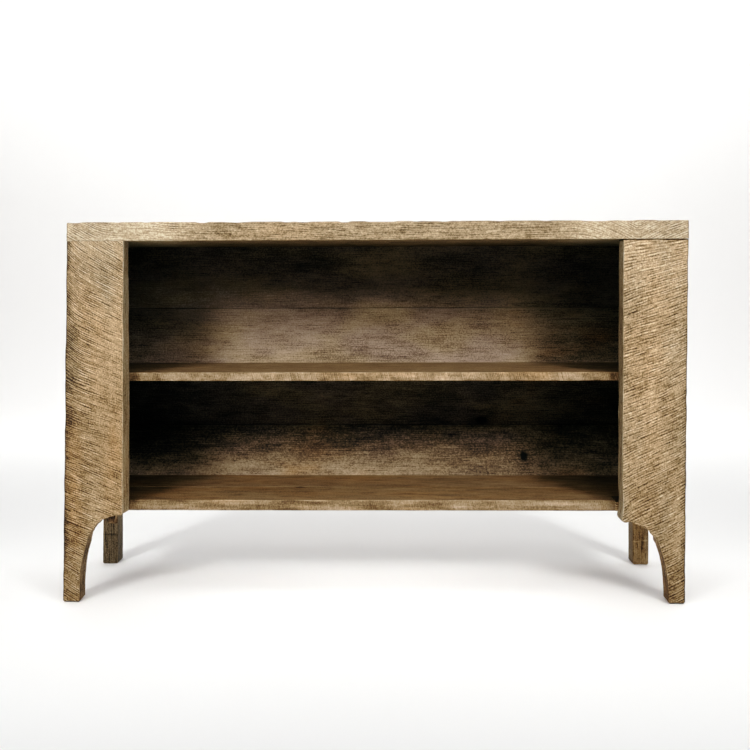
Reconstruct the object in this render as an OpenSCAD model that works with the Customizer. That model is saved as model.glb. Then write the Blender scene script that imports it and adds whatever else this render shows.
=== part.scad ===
// Open shelf cabinet of thick, roughly sawn boards, in millimetres.
// The origin is the middle of the bounding box on the floor. +X runs along the
// width to the right, +Y towards the back and +Z up.

/* [Cabinet] */
// Length of the top
top_l = 1524; // [1300:1:1700]
// Height from the floor to the top surface
height = 936; // [900:1:980]
// Depth from the leg boards' front to the back
depth = 457; // [430:1:500]
// Thickness of the top
top_t = 47; // [40:1:55]

/* [Leg boards] */
// Thickness of each leg board, front to back
leg_t = 58; // [50:1:65]
// Width of the left leg board at the top
left_w = 143; // [130:1:160]
// Width of the right leg board at the top
right_w = 160; // [150:1:170]
// Height of the left board's lower edge above the floor
left_edge_z = 212; // [195:1:215]
// Height of the right board's lower edge above the floor
right_edge_z = 195; // [190:1:215]
// Width of the left foot at the floor
left_foot_w = 43; // [36:1:55]
// Width of the right foot at the floor
right_foot_w = 39; // [36:1:55]
// How far the left foot stands out beyond the end of the top
left_lean = 12; // [0:1:16]
// How far the right foot stands in from the end of the top
right_lean = 11; // [0:1:12]
// Squareness of the arched cut-outs, where 2 is an ellipse
arch_power = 2.5; // [2:0.1:3]

/* [Rear posts] */
// Width of each rear post at the floor
post_w = 44; // [40:1:50]
// Depth of each rear post, front to back
post_d = 64; // [55:1:70]

/* [Sides] */
// Thickness of the side planks
side_t = 28; // [24:1:28]
// Number of planks in each side
side_planks = 3; // [3:1:3]
// Height of the side planks' lower edge above the floor
side_edge_z = 213; // [200:1:215]
// How far the lower edge curves down where it meets a leg
side_arch_h = 100; // [60:1:120]

/* [Shelves] */
// Top surface of the middle shelf above the floor
middle_z = 561; // [540:1:580]
// Thickness of the middle shelf
middle_t = 22; // [20:1:26]
// Top surface of the bottom shelf above the floor
bottom_z = 242; // [242:1:250]
// Thickness of the bottom shelf
bottom_t = 27; // [24:1:27]
// Length of the block let into the bottom shelf's right end
block_l = 130; // [100:1:140]
// Depth of that block, front to back
block_d = 60; // [40:1:80]

/* [Back] */
// Thickness of the back boards
back_t = 16; // [14:1:18]
// Height of each full back board
back_board_h = 165.5; // [160:0.5:168]
// Joint between the lowest back board and the next
back_joint_z = 384; // [370:1:390]

/* [Hidden] */

$fn = 48;
LEFT = -1;
RIGHT = 1;
sides = [LEFT, RIGHT];

// Colours of the weathered front, the sawn sides and the stained inside
front_wood = [0.64, 0.54, 0.40];
side_wood = [0.58, 0.48, 0.35];
shelf_wood = [0.45, 0.34, 0.22];
back_wood = [0.27, 0.21, 0.16];
post_wood = [0.38, 0.32, 0.25];
dowel_wood = [0.78, 0.66, 0.47];
screw_steel = [0.62, 0.62, 0.60];

// Heights and depths that several pieces share
leg_top = height - top_t;
back_y = depth - back_t;
post_y = depth - post_d;
half_l = top_l / 2;

// Inner faces of the rear posts, which are plumb
left_post_x = -half_l - left_lean + post_w;
right_post_x = half_l - right_lean - post_w;

// Inner faces of the sides: flush with the left post, and set outside the right post's
left_inside_x = left_post_x;
right_side_inset = 40;
right_inside_x = half_l - right_side_inset;
function inside_x(side) = side < 0 ? left_inside_x : right_inside_x;

// Foot edges: how far the feet stand out from the ends of the top
arch_steps = 16;
corner_steps = 6;
left_corner_r = 4;
right_corner_r = 14;
inner_lean = 6;        // both leg boards' inner edges lean the same way as the feet
bulge = 6;             // the right board swells inwards above its lower corner
bulge_span = 70;

// Side planks run from the leg board's back to the rear post's front
plank_w = (post_y - leg_t) / side_planks;

// The top's planks and the loose splines between them
top_w = depth / 3;
spline_t = 6;
spline_w = 24;
spline_inset = 60;

// Shelf planks
shelf_joint_y = (leg_t + back_y) / 2;

// Cleats
cleat_w = 20;
cleat_h = 25;
cleat_y0 = leg_t + 12;
cleat_y1 = post_y - 12;

// Back boards: their rabbets in the posts, half laps and open joints
rabbet_w = 14;
lap = 8;
joint_gap = 1;
back_x0 = left_post_x - rabbet_w;
back_x1 = right_post_x + rabbet_w;
back_z0 = bottom_z - bottom_t;
back_joints = [back_z0, for (i = [0:2]) back_joint_z + i * back_board_h, leg_top];

// Dowels
top_dowel_d = 16;
top_dowel_down = 40;
top_dowel_up = 30;
side_dowel_d = 10;
side_dowel_l = 60;
side_dowel_inset = 16;
side_dowel_z = [300, 550, 800];
shelf_dowel_d = 10;
shelf_dowel_l = 40;
plank_dowel_x = [-540, -180, 180, 540];
board_dowel_x = [-half_l + 90, half_l - 95];
middle_mid = middle_z - middle_t / 2;
bottom_mid = bottom_z - bottom_t / 2;

// Screws
screw_d = 4.5;
head_d = 9;
head_h = 2.8;
slot_d = 3;
side_screw_l = 40;
shelf_screw_l = 38;
top_screw_l = 46;
back_screw_l = 38;
side_screw_y = [for (i = [0:side_planks - 1]) leg_t + plank_w * (i + 0.5)];
shelf_screw_y = [150, 300];
top_screw_y = [90, 200, 350];
back_screw_inset = 28;
shelf_back_screw_x = [-450, -150, 150, 450];

// Puts the pieces, drawn from the front of the leg boards, into the frame
module in_frame() translate([left_lean / 2, -depth / 2, 0]) children();

// An upright outline in X and Z, extruded d towards the back from y
module upright(y, d) translate([0, y + d, 0]) rotate([90, 0, 0]) linear_extrude(d) children();

// A block from its lowest to its highest corner
module block(low, high) translate(low) cube(high - low);

// A dowel or hole of length l from p, along +Y or +Z
module along_y(p, d, l) translate(p) rotate([-90, 0, 0]) cylinder(d = d, h = l);
module along_z(p, d, l) translate(p) cylinder(d = d, h = l);

// Width of a leg board at height z: it leans evenly and may swell near its lower edge
function board_edge(z, w, lean, swell, low) =
    w + lean * (1 - z / height)
    + swell * (z < low + bulge_span ? (1 + cos(180 * (z - low) / bulge_span)) / 2 : 0);

// Outline of a leg board, measured inwards from the end of the top
function leg_outline(w, foot_w, edge_z, out, lean, swell, r) =
    let (x0 = board_edge(edge_z, w, lean, swell, edge_z) - r, foot_x = foot_w - out)
    concat(
        [[0, leg_top], [-out, 0]],
        [for (i = [0:arch_steps]) let (a = 90 * i / arch_steps)
            [x0 - (x0 - foot_x) * pow(cos(a), 2 / arch_power), edge_z * pow(sin(a), 2 / arch_power)]],
        [for (i = [1:corner_steps]) let (a = 90 * i / corner_steps)
            [x0 + r * sin(a), edge_z + r * (1 - cos(a))]],
        [for (i = [1:4]) let (z = edge_z + r + i * (bulge_span - r) / 4)
            [board_edge(z, w, lean, swell, edge_z), z]],
        [[w, leg_top]]
    );

// Where the top's dowels stand: two in each leg board and one in each rear post
top_dowel_at = [
    [-half_l + 40, leg_t / 2], [-half_l + 105, leg_t / 2], [half_l - 40, leg_t / 2],
    [half_l - 115, leg_t / 2], [-half_l + 14, depth - post_d / 2 - 8],
    [half_l - 24, depth - post_d / 2 - 8],
];
module top_dowel_shapes() {
    for (p = top_dowel_at)
        along_z([p[0], p[1], leg_top - top_dowel_down], top_dowel_d, top_dowel_down + top_dowel_up);
}

// Dowels through the edges of one side's planks, into the leg board and the post
module side_dowel_shapes(side) {
    for (i = [0:side_planks], z = side_dowel_z)
        along_y([inside_x(side) + side * side_dowel_inset, leg_t + i * plank_w - side_dowel_l / 2, z],
                side_dowel_d, side_dowel_l);
}

// Dowels from the leg boards into the shelves, and between the shelf planks
module shelf_dowel_shapes() {
    for (z = [middle_mid, bottom_mid]) {
        for (x = board_dowel_x)
            along_y([x, leg_t - shelf_dowel_l / 2, z], shelf_dowel_d, shelf_dowel_l);
        for (x = plank_dowel_x)
            along_y([x, shelf_joint_y - shelf_dowel_l / 2, z], shelf_dowel_d, shelf_dowel_l);
    }
}

// A countersunk screw with a square drive, head at the origin, pointing along +Z
module screw_hole(l) {
    cylinder(d = screw_d, h = l);
    cylinder(d1 = head_d, d2 = screw_d, h = head_h);
}
module screw(l) difference() {
    screw_hole(l);
    translate([-slot_d / 2, -slot_d / 2, -1]) cube([slot_d, slot_d, 3]);
}

// Each group of screws, as solid screws or as the holes for them
module screw_or_hole(l, solid) {
    if (solid) screw(l); else screw_hole(l);
}
module cleat_screw_shapes(solid) {
    for (s = sides, y = side_screw_y, top = [middle_z - middle_t, bottom_z - bottom_t, leg_top])
        translate([inside_x(s) - s * cleat_w, y, top - cleat_h / 2])
            rotate([0, s * 90, 0]) screw_or_hole(side_screw_l, solid);
}
module shelf_screw_shapes(solid) {
    for (s = sides, y = shelf_screw_y, top = [middle_z - middle_t, bottom_z - bottom_t])
        translate([inside_x(s) - s * cleat_w / 2, y, top - cleat_h]) screw_or_hole(shelf_screw_l, solid);
}
module top_screw_shapes(solid) {
    for (s = sides, y = top_screw_y)
        translate([inside_x(s) - s * cleat_w / 2, y, leg_top - cleat_h]) screw_or_hole(top_screw_l, solid);
}
module back_screw_shapes(solid) {
    for (x = [back_x0 + rabbet_w / 2, back_x1 - rabbet_w / 2], i = [0:3],
         z = [back_joints[i] + back_screw_inset, back_joints[i + 1] - back_screw_inset])
        translate([x, depth, z]) rotate([90, 0, 0]) screw_or_hole(back_screw_l, solid);
    for (x = shelf_back_screw_x)
        translate([x, depth, bottom_mid]) rotate([90, 0, 0]) screw_or_hole(back_screw_l, solid);
}

// The top: three planks side by side, with a loose spline in each joint
module top_spline_shape(i) {
    block([-half_l + spline_inset, i * top_w - spline_w / 2, leg_top + (top_t - spline_t) / 2],
          [half_l - spline_inset, i * top_w + spline_w / 2, leg_top + (top_t + spline_t) / 2]);
}
module top_plank(i) {
    color(front_wood) difference() {
        block([-half_l, i * top_w, leg_top], [half_l, (i + 1) * top_w, height]);
        for (j = [1, 2]) top_spline_shape(j);
        top_dowel_shapes();
        top_screw_shapes(false);
    }
}
module top_spline(i) color(dowel_wood) top_spline_shape(i);

// The leg boards, each with an arched cut-out that leaves a foot at the outer corner
module leg_board_left() {
    color(front_wood) difference() {
        upright(0, leg_t) translate([-half_l, 0])
            polygon(leg_outline(left_w, left_foot_w, left_edge_z, left_lean, -inner_lean, 0, left_corner_r));
        top_dowel_shapes();
        side_dowel_shapes(LEFT);
        shelf_dowel_shapes();
    }
}
module leg_board_right() {
    color(front_wood) difference() {
        upright(0, leg_t) translate([half_l, 0]) mirror([1, 0])
            polygon(leg_outline(right_w, right_foot_w, right_edge_z, -right_lean, inner_lean, bulge,
                                right_corner_r));
        top_dowel_shapes();
        side_dowel_shapes(RIGHT);
        shelf_dowel_shapes();
    }
}

// A rear post: plumb inside, leaning outside, with a rabbet for the back boards
module rear_post(side, inner_x, foot_x) {
    color(post_wood) difference() {
        upright(post_y, post_d)
            polygon([[inner_x, 0], [foot_x, 0], [side * half_l, leg_top], [inner_x, leg_top]]);
        block([back_x0, back_y, back_z0], [back_x1, depth + 1, leg_top + 1]);
        top_dowel_shapes();
        side_dowel_shapes(side);
        back_screw_shapes(false);
    }
}

// Lower edge of a side: level, curving down to the leg board and to the post
function side_low(y) =
    let (reach = 1.1 * side_arch_h, d = max(0, min(y - leg_t, post_y - y)), near = max(0, 1 - d / reach))
    side_edge_z - side_arch_h * (1 - pow(1 - pow(near, arch_power), 1 / arch_power));

module side_plank(side, i) {
    y0 = leg_t + i * plank_w;
    color(side_wood) difference() {
        translate([inside_x(side) - (side < 0 ? side_t : 0), 0, 0]) rotate([90, 0, 90])
            linear_extrude(side_t)
            polygon(concat(
                [for (k = [0:arch_steps]) let (y = y0 + k * plank_w / arch_steps) [y, side_low(y)]],
                [[y0 + plank_w, leg_top], [y0, leg_top]]));
        side_dowel_shapes(side);
        cleat_screw_shapes(false);
    }
}

// The rear post on the right stands in past the side planks, so the shelves are notched for it
module right_post_notch() block([right_post_x, post_y, 0], [half_l, depth, leg_top]);

// One plank of a shelf, from y0 to y1
module shelf_plank(y0, y1, top_z, t) {
    difference() {
        block([left_inside_x, y0, top_z - t], [right_inside_x, y1, top_z]);
        right_post_notch();
        shelf_dowel_shapes();
        shelf_screw_shapes(false);
        back_screw_shapes(false);
    }
}
module end_block_shape(y) {
    block([right_inside_x - block_l, y, bottom_z - bottom_t], [right_inside_x, leg_t + block_d, bottom_z]);
}
module middle_shelf_front() color(shelf_wood) shelf_plank(leg_t, shelf_joint_y, middle_z, middle_t);
module middle_shelf_back() color(shelf_wood) shelf_plank(shelf_joint_y, back_y, middle_z, middle_t);
module bottom_shelf_front() {
    color(shelf_wood) difference() {
        shelf_plank(leg_t, shelf_joint_y, bottom_z, bottom_t);
        end_block_shape(leg_t - 1);
    }
}
module bottom_shelf_back() color(shelf_wood) shelf_plank(shelf_joint_y, back_y, bottom_z, bottom_t);
module bottom_shelf_end_block() {
    color(front_wood) difference() {
        end_block_shape(leg_t);
        shelf_dowel_shapes();
    }
}

// A cleat screwed to the side, with its top face at top_z
module cleat(side, top_z) {
    x0 = inside_x(side) - (side < 0 ? 0 : cleat_w);
    color(side_wood) difference() {
        block([x0, cleat_y0, top_z - cleat_h], [x0 + cleat_w, cleat_y1, top_z]);
        cleat_screw_shapes(false);
        shelf_screw_shapes(false);
        top_screw_shapes(false);
    }
}

// A back board: each one laps behind the board above it, with an open joint in front
module back_board(i) {
    z0 = back_joints[i];
    z1 = back_joints[i + 1];
    under = i == 0 ? 0 : lap;
    over = i == 3 ? 0 : lap;
    color(back_wood) difference() {
        union() {
            block([back_x0, back_y, i == 0 ? z0 : z0 + joint_gap], [back_x1, back_y + back_t / 2, z1]);
            block([back_x0, back_y + back_t / 2, z0 + under], [back_x1, depth, z1 + over - joint_gap]);
        }
        back_screw_shapes(false);
    }
}

in_frame() top_plank(0);  // top_plank_front
in_frame() top_plank(1);  // top_plank_middle
in_frame() top_plank(2);  // top_plank_back
in_frame() top_spline(1);  // top_spline_front
in_frame() top_spline(2);  // top_spline_back
in_frame() leg_board_left();
in_frame() leg_board_right();
in_frame() rear_post(LEFT, left_post_x, -half_l - left_lean);  // rear_post_left
in_frame() rear_post(RIGHT, right_post_x, half_l - right_lean);  // rear_post_right
in_frame() side_plank(LEFT, 0);  // side_plank_left_front
in_frame() side_plank(LEFT, 1);  // side_plank_left_middle
in_frame() side_plank(LEFT, 2);  // side_plank_left_back
in_frame() side_plank(RIGHT, 0);  // side_plank_right_front
in_frame() side_plank(RIGHT, 1);  // side_plank_right_middle
in_frame() side_plank(RIGHT, 2);  // side_plank_right_back
in_frame() middle_shelf_front();
in_frame() middle_shelf_back();
in_frame() bottom_shelf_front();
in_frame() bottom_shelf_back();
in_frame() bottom_shelf_end_block();
in_frame() cleat(LEFT, middle_z - middle_t);  // middle_cleat_left
in_frame() cleat(RIGHT, middle_z - middle_t);  // middle_cleat_right
in_frame() cleat(LEFT, bottom_z - bottom_t);  // bottom_cleat_left
in_frame() cleat(RIGHT, bottom_z - bottom_t);  // bottom_cleat_right
in_frame() cleat(LEFT, leg_top);  // top_cleat_left
in_frame() cleat(RIGHT, leg_top);  // top_cleat_right
in_frame() back_board(0);  // back_board_1
in_frame() back_board(1);  // back_board_2
in_frame() back_board(2);  // back_board_3
in_frame() back_board(3);  // back_board_4
in_frame() color(dowel_wood) top_dowel_shapes();  // top_dowels
in_frame() color(dowel_wood) side_dowel_shapes(LEFT);  // side_dowels_left
in_frame() color(dowel_wood) side_dowel_shapes(RIGHT);  // side_dowels_right
in_frame() color(dowel_wood) shelf_dowel_shapes();  // shelf_dowels
in_frame() color(screw_steel) cleat_screw_shapes(true);  // cleat_screws
in_frame() color(screw_steel) shelf_screw_shapes(true);  // shelf_screws
in_frame() color(screw_steel) top_screw_shapes(true);  // top_screws
in_frame() color(screw_steel) back_screw_shapes(true);  // back_screws
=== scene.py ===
"""Looks of an open shelf cabinet of rough-sawn boards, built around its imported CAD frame.

Every plank is a closed grid mesh that replaces its CAD node. Its edges are hewn and its faces are cut
with saw marks in the geometry, and the model stays inside the CAD box. Lengths are in metres. The
cabinet's front faces -Y and the floor is at Z = 0.
"""

import itertools
import math

import bpy
import numpy as np
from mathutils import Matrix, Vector


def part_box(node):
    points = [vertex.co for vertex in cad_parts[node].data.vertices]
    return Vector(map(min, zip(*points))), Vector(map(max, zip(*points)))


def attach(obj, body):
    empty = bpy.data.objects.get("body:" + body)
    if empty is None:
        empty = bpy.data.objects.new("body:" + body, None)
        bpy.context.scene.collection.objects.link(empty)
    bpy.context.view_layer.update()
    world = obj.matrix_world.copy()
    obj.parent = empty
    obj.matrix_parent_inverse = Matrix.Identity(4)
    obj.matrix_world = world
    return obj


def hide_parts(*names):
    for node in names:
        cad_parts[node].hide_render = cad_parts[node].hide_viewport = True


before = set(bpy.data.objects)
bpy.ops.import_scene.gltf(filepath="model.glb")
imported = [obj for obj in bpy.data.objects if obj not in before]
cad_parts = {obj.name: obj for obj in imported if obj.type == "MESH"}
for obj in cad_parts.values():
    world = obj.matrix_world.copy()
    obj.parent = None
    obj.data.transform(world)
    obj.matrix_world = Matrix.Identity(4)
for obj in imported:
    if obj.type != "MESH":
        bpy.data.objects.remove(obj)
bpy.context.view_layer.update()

MM = 0.001
FAR = 9.0  # beyond the cabinet in any direction
LOW_X, HIGH_X, LOW_Y, HIGH_Y, LOW_Z, HIGH_Z = range(6)
FRONT = LOW_Y
ALONG_X, ALONG_Y, ALONG_Z = range(3)

leg_low, leg_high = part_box("leg_board_left")
board_low, board_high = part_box("back_board_1")
TOP_UNDERSIDE = leg_high.z
LEG_THICKNESS = leg_high.y - leg_low.y
BETWEEN_SHELVES = 0.4
LEFT_ARCH_TOP = 0.212
RIGHT_ARCH_TOP = 0.195
LAP = 7 * MM  # where one back board stands behind the next


# ---------------------------------------------------------------- noise


WORD = 0xFFFFFFFF
SEED_PRIME, SEED_SHIFT, LAST_PRIME = 2654435761, 97, 1274126177
CELL_PRIMES = (2246822519, 3266489917, 668265263)


def hashed(seed, *cells):
    """A repeatable number from 0 to 1 for each whole-number cell."""
    h = np.full(cells[0].shape, (seed * SEED_PRIME + SEED_SHIFT) & WORD, np.uint32)
    for cell, prime in zip(cells, CELL_PRIMES):
        h = (h ^ (cell & WORD).astype(np.uint32)) * np.uint32(prime)
        h ^= h >> np.uint32(15)
    h = (h ^ (h >> np.uint32(13))) * np.uint32(LAST_PRIME)
    return (h ^ (h >> np.uint32(16))) / float(WORD)


def ease(t):
    """0 below 0, 1 above 1, and smooth between."""
    t = np.clip(t, 0, 1)
    return t * t * (3 - 2 * t)


def near(t, centre, width):
    """1 at the centre, falling smoothly to 0 at that width from it."""
    return ease(1 - np.abs(t - centre) / width)


def noise(seed, *coords):
    """Smooth noise from -1 to 1, with features about one unit across."""
    cells = [np.floor(c).astype(np.int64) for c in coords]
    parts = [ease(c - n) for c, n in zip(coords, cells)]
    total = 0.0
    for corner in itertools.product((0, 1), repeat=len(coords)):
        weight = 1.0
        for side, t in zip(corner, parts):
            weight = weight * (t if side else 1 - t)
        total = total + weight * hashed(seed, *[n + side for n, side in zip(cells, corner)])
    return 2 * total - 1


def rough(seed, octaves, *coords):
    """Noise from -1 to 1 with finer and weaker layers added."""
    layers = [noise(seed + i, *[c * 2**i for c in coords]) / 2**i for i in range(octaves)]
    return sum(layers) / (2 - 2 / 2**octaves)


# ---------------------------------------------------------------- meshes


def grid_lines(low, high, step, bevel, extra):
    """Places along one axis, closer together at both ends, where the edges are worn, and the extras."""
    bevel = min(bevel, (high - low) / 3)
    close = bevel * np.array([0, 0.2, 0.45, 0.72])
    count = max(1, round((high - low - 2 * bevel) / step))
    middle = np.linspace(low + bevel, high - bevel, count + 1)
    lines = np.concatenate([low + close, middle, (high - close)[::-1]])
    for place in extra:
        lines = lines[np.abs(lines - place) > 0.3 * MM]
    return np.sort(np.concatenate([lines, extra]))


def shell(keep):
    """The used points, as three index arrays, and the outward quads round the kept cells of a grid."""
    shape = [n + 1 for n in keep.shape]
    quads = []
    for axis in range(3):
        around = [(1, 1) if a == axis else (0, 0) for a in range(3)]
        change = np.diff(np.pad(keep.astype(np.int8), around), axis=axis)
        for sign in (1, -1):
            cell = np.argwhere(change == sign)
            loop = []
            for across, up in ((0, 0), (1, 0), (1, 1), (0, 1)):
                corner = cell.copy()
                corner[:, (axis + 1) % 3] += across
                corner[:, (axis + 2) % 3] += up
                loop.append(np.ravel_multi_index(corner.T, shape))
            quads.append(np.stack(loop[::-sign], 1))
    used, faces = np.unique(np.concatenate(quads), return_inverse=True)
    return np.unravel_index(used, shape), faces.reshape(-1, 4)


def mesh_object(name, points, faces, attributes, material):
    """A smooth-shaded mesh object with point attributes."""
    mesh = bpy.data.meshes.new(name)
    mesh.vertices.add(len(points))
    mesh.vertices.foreach_set("co", points.astype(np.float32).ravel())
    mesh.loops.add(faces.size)
    mesh.loops.foreach_set("vertex_index", faces.astype(np.int32).ravel())
    mesh.polygons.add(len(faces))
    mesh.polygons.foreach_set("loop_start", np.arange(0, faces.size, 4, dtype=np.int32))
    mesh.update(calc_edges=True)
    mesh.polygons.foreach_set("use_smooth", np.ones(len(faces), bool))
    for key, values in attributes.items():
        kind, field = ("FLOAT_VECTOR", "vector") if values.ndim == 2 else ("FLOAT", "value")
        layer = mesh.attributes.new(key, kind, "POINT")
        layer.data.foreach_set(field, values.astype(np.float32).ravel())
    mesh.materials.append(material)
    mesh.validate()
    piece = bpy.data.objects.new(name, mesh)
    bpy.context.scene.collection.objects.link(piece)
    return piece


# ---------------------------------------------------------------- shapes of the planks


class Plank:
    """The points of one plank's grid, how deep each lies behind the faces, and the ways inwards."""

    def __init__(self, node, steps, bevel, notches=(), ruled=None):
        low, high = (np.array(corner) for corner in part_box(node))
        self.low, self.high = low, high
        lines = []
        for a in range(3):
            cuts = {corner[a] for notch in notches for corner in notch if low[a] < corner[a] < high[a]}
            lines.append(grid_lines(low[a], high[a], steps[a], bevel, sorted(cuts)))
        middles = np.meshgrid(*[(line[1:] + line[:-1]) / 2 for line in lines], indexing="ij")
        keep = np.ones(middles[0].shape, bool)
        for start, end in notches:
            inside = [(m > s) & (m < e) for m, s, e in zip(middles, start, end)]
            keep &= ~(inside[0] & inside[1] & inside[2])
        index, self.faces = shell(keep)
        flat = np.stack([line[i] for line, i in zip(lines, index)], 1)
        self.depth = []
        self.inward = []
        for axis in range(3):
            unit = np.zeros(3)
            unit[axis] = 1
            self.depth += [flat[:, axis] - low[axis], high[axis] - flat[:, axis]]
            self.inward += [np.tile(unit, (len(flat), 1)), np.tile(-unit, (len(flat), 1))]
        self.points = flat
        if ruled:
            self.rule(*ruled)

    def rule(self, across, up, low_edge, high_edge):
        """Bends two faces onto two curves, which turn fractions up the plank into points."""
        a_little = 0.002
        span = self.high - self.low
        t = (self.points[:, up] - self.low[up]) / span[up]
        r = (self.points[:, across] - self.low[across]) / span[across]
        start = low_edge(t)
        row = high_edge(t) - start
        self.points = self.points.copy()
        self.points[:, [across, up]] = start + r[:, None] * row
        for face, edge, share, way in (
            (2 * across, low_edge, r, 1),
            (2 * across + 1, high_edge, 1 - r, -1),
        ):
            tangent = edge(t + a_little) - edge(t - a_little)
            normal = way * np.stack([tangent[:, 1], -tangent[:, 0]], 1)
            normal /= np.linalg.norm(normal, axis=1)[:, None]
            self.depth[face] = share * way * np.sum(row * normal, 1)
            self.inward[face] = np.zeros_like(self.points)
            self.inward[face][:, [across, up]] = normal
        self.depth[2 * up] = self.points[:, up] - self.low[up]
        self.depth[2 * up + 1] = self.high[up] - self.points[:, up]


def curve(points):
    """A function from fractions of a curve's length to points; it runs straight on past its ends."""
    points = np.array(points)
    length = np.concatenate([[0], np.cumsum(np.linalg.norm(np.diff(points, axis=0), axis=1))])
    length /= length[-1]

    def at(t):
        inside = np.stack([np.interp(t, length, points[:, k]) for k in range(2)], -1)
        before = np.minimum(t, 0)[:, None] * (points[1] - points[0]) / length[1]
        after = np.maximum(t - 1, 0)[:, None] * (points[-1] - points[-2]) / (1 - length[-2])
        return inside + before + after

    return at


def front_outline(node):
    """The CAD node's corners in its front plane, as X and Z."""
    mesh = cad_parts[node].data
    corners = np.array([v.co[:] for v in mesh.vertices])
    front = corners[corners[:, 1] < corners[:, 1].min() + 0.1 * MM]
    return np.unique(np.round(front[:, [0, 2]], 5), axis=0)


def leg_curves(node, side):
    """The outer and inner edge of a leg board, from the floor up, over the arch and up to the top."""
    corners = front_outline(node)
    ends = [corners[corners[:, 1] == z] for z in (corners[:, 1].min(), corners[:, 1].max())]
    outer = [row[np.argmax(side * row[:, 0])] for row in ends]
    rest = [p for p in corners if min(np.linalg.norm(p - o) for o in outer) > 1 * MM]
    inner = sorted(rest, key=lambda p: (p[1], -side * p[0]))
    inner_at = curve(inner)
    lengths = np.linalg.norm(np.diff(np.array(inner), axis=0), axis=1)
    higher_arch = LEFT_ARCH_TOP + 0.5 * MM
    on_arch = [length for length, p in zip(lengths, inner[1:]) if p[1] < higher_arch]
    outer_at_arch_end = 0.30 / TOP_UNDERSIDE
    steps = [0, sum(on_arch) / sum(lengths), 1]
    heights = [0, outer_at_arch_end, 1]

    def outer_at(t):
        share = np.interp(t, steps, heights) + np.minimum(t, 0) + np.maximum(t - 1, 0)
        return outer[0] + share[:, None] * (outer[1] - outer[0])

    return (outer_at, inner_at) if side < 0 else (inner_at, outer_at)


def side_curves(node, side):
    """The lower and upper edge of a side plank, from front to back, as Z and Y."""
    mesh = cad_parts[node].data
    corners = np.array([v.co[:] for v in mesh.vertices])
    outer = (side * corners[:, 0]).max()
    flank = corners[side * corners[:, 0] > outer - 0.1 * MM]
    corners = np.unique(np.round(flank[:, 1:], 5), axis=0)
    lower = corners[corners[:, 1] < BETWEEN_SHELVES]
    upper = corners[corners[:, 1] > TOP_UNDERSIDE - 1 * MM]
    return curve(lower[:, ::-1]), curve(upper[[0, -1], ::-1])


# ---------------------------------------------------------------- saw marks


def streaks(seed, along, across, spacing):
    """Row number of each saw mark, counted in marks, and depth of cut from 0 to 1.

    The rows wander a little, break off and start again, with chips and finer marks between them.
    """
    wander = 0.35 * noise(seed + 8, along / 0.050, across / 0.012)
    wander = wander + 0.9 * noise(seed + 9, along / 0.22, across / 0.08)
    row = across / spacing + wander
    beat = (0.5 + 0.5 * np.cos(2 * np.pi * row)) ** 2
    strength = ease(0.48 + 0.95 * noise(seed + 5, along / 0.034, row))
    patch = 0.5 + 0.5 * rough(seed + 3, 2, along / 0.06, across / 0.04)
    gouge = ease(1 - np.abs(noise(seed, along / 0.110, across / 0.011)) / 0.22)
    fine = noise(seed + 2, along / 0.024, across / 0.0038)
    chip = ease((noise(seed + 6, along / 0.012, across / 0.0050) - 0.35) / 0.4)
    level = 0.14 + 0.46 * beat * strength + 0.25 * gouge * patch - 0.16 * fine + 0.30 * chip * patch
    return row, np.clip(level, 0, 1)


def turned(across, along, slope):
    """Coordinates along and across marks that rise by that slope."""
    return across * np.sqrt(1 + slope**2), along - slope * across


def left_board_marks(p):
    """Marks fall steeply to the right at the top and flatten on the way down."""
    board_x = -0.690
    x, z = p[:, 0] - board_x, p[:, 2]
    heights = [0.0, 0.20, 0.40, 0.55, 0.70, 0.80, 0.90]
    slope = np.interp(z, heights, [-0.70, -0.42, -0.36, -0.40, -0.48, -0.56, -0.62])
    return turned(x, z, slope - 0.14 * near(x, -0.07, 0.05) * ease((z - 0.50) / 0.1))


def right_board_marks(p):
    """Long marks rise to the right, nearly level at the top and steeper on the way down."""
    board_x = 0.680
    x, z = p[:, 0] - board_x, p[:, 2]
    heights = [0.0, 0.26, 0.50, 0.70, 0.80, 0.87, 0.90]
    slope = np.interp(z, heights, [0.50, 0.50, 0.41, 0.34, 0.24, 0.10, 0.06])
    return turned(x, z, slope + 0.8 * np.maximum(x, 0))


def top_edge_marks(p):
    """Marks fall to the right at the left end, run level in the middle, then fall and rise again."""
    places = np.linspace(-0.8, 0.8, 161)
    turns = [-0.76, -0.69, -0.64, 0.48, 0.55, 0.64, 0.66, 0.76]
    slopes = np.interp(places, turns, [-0.60, -0.55, -0.06, 0.02, -0.40, -0.60, 0.55, 0.40])
    drop = np.interp(p[:, 0], places, np.cumsum(slopes) * (places[1] - places[0]))
    return p[:, 0], p[:, 2] - drop


def cross_marks(p):
    """Short upright marks, side by side along X."""
    return p[:, 2] + 0.37 * noise(43, p[:, 0] / 0.2, p[:, 2]), p[:, 0] + 0.25 * p[:, 2]


def upright_marks(p):
    """Marks along Z."""
    return p[:, 2], p[:, 0] + 0.03 * p[:, 2]


# ---------------------------------------------------------------- building a plank


def wavy_faces(plank, q, seed, wave, wave_length):
    """How far the points move because no face is flat: each face moves the points close behind it."""
    thickness = min(plank.high - plank.low)
    reach = min(0.025, thickness / 2)
    move = np.zeros_like(q)
    for face in range(6):
        swing = 0.5 + 0.5 * rough(seed + 10 * face, 3, *(q / wave_length).T)
        amount = wave[face] * MM * swing * np.clip(1 - plank.depth[face] / reach, 0, 1)
        move += plank.inward[face] * amount[:, None]
    return move


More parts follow.
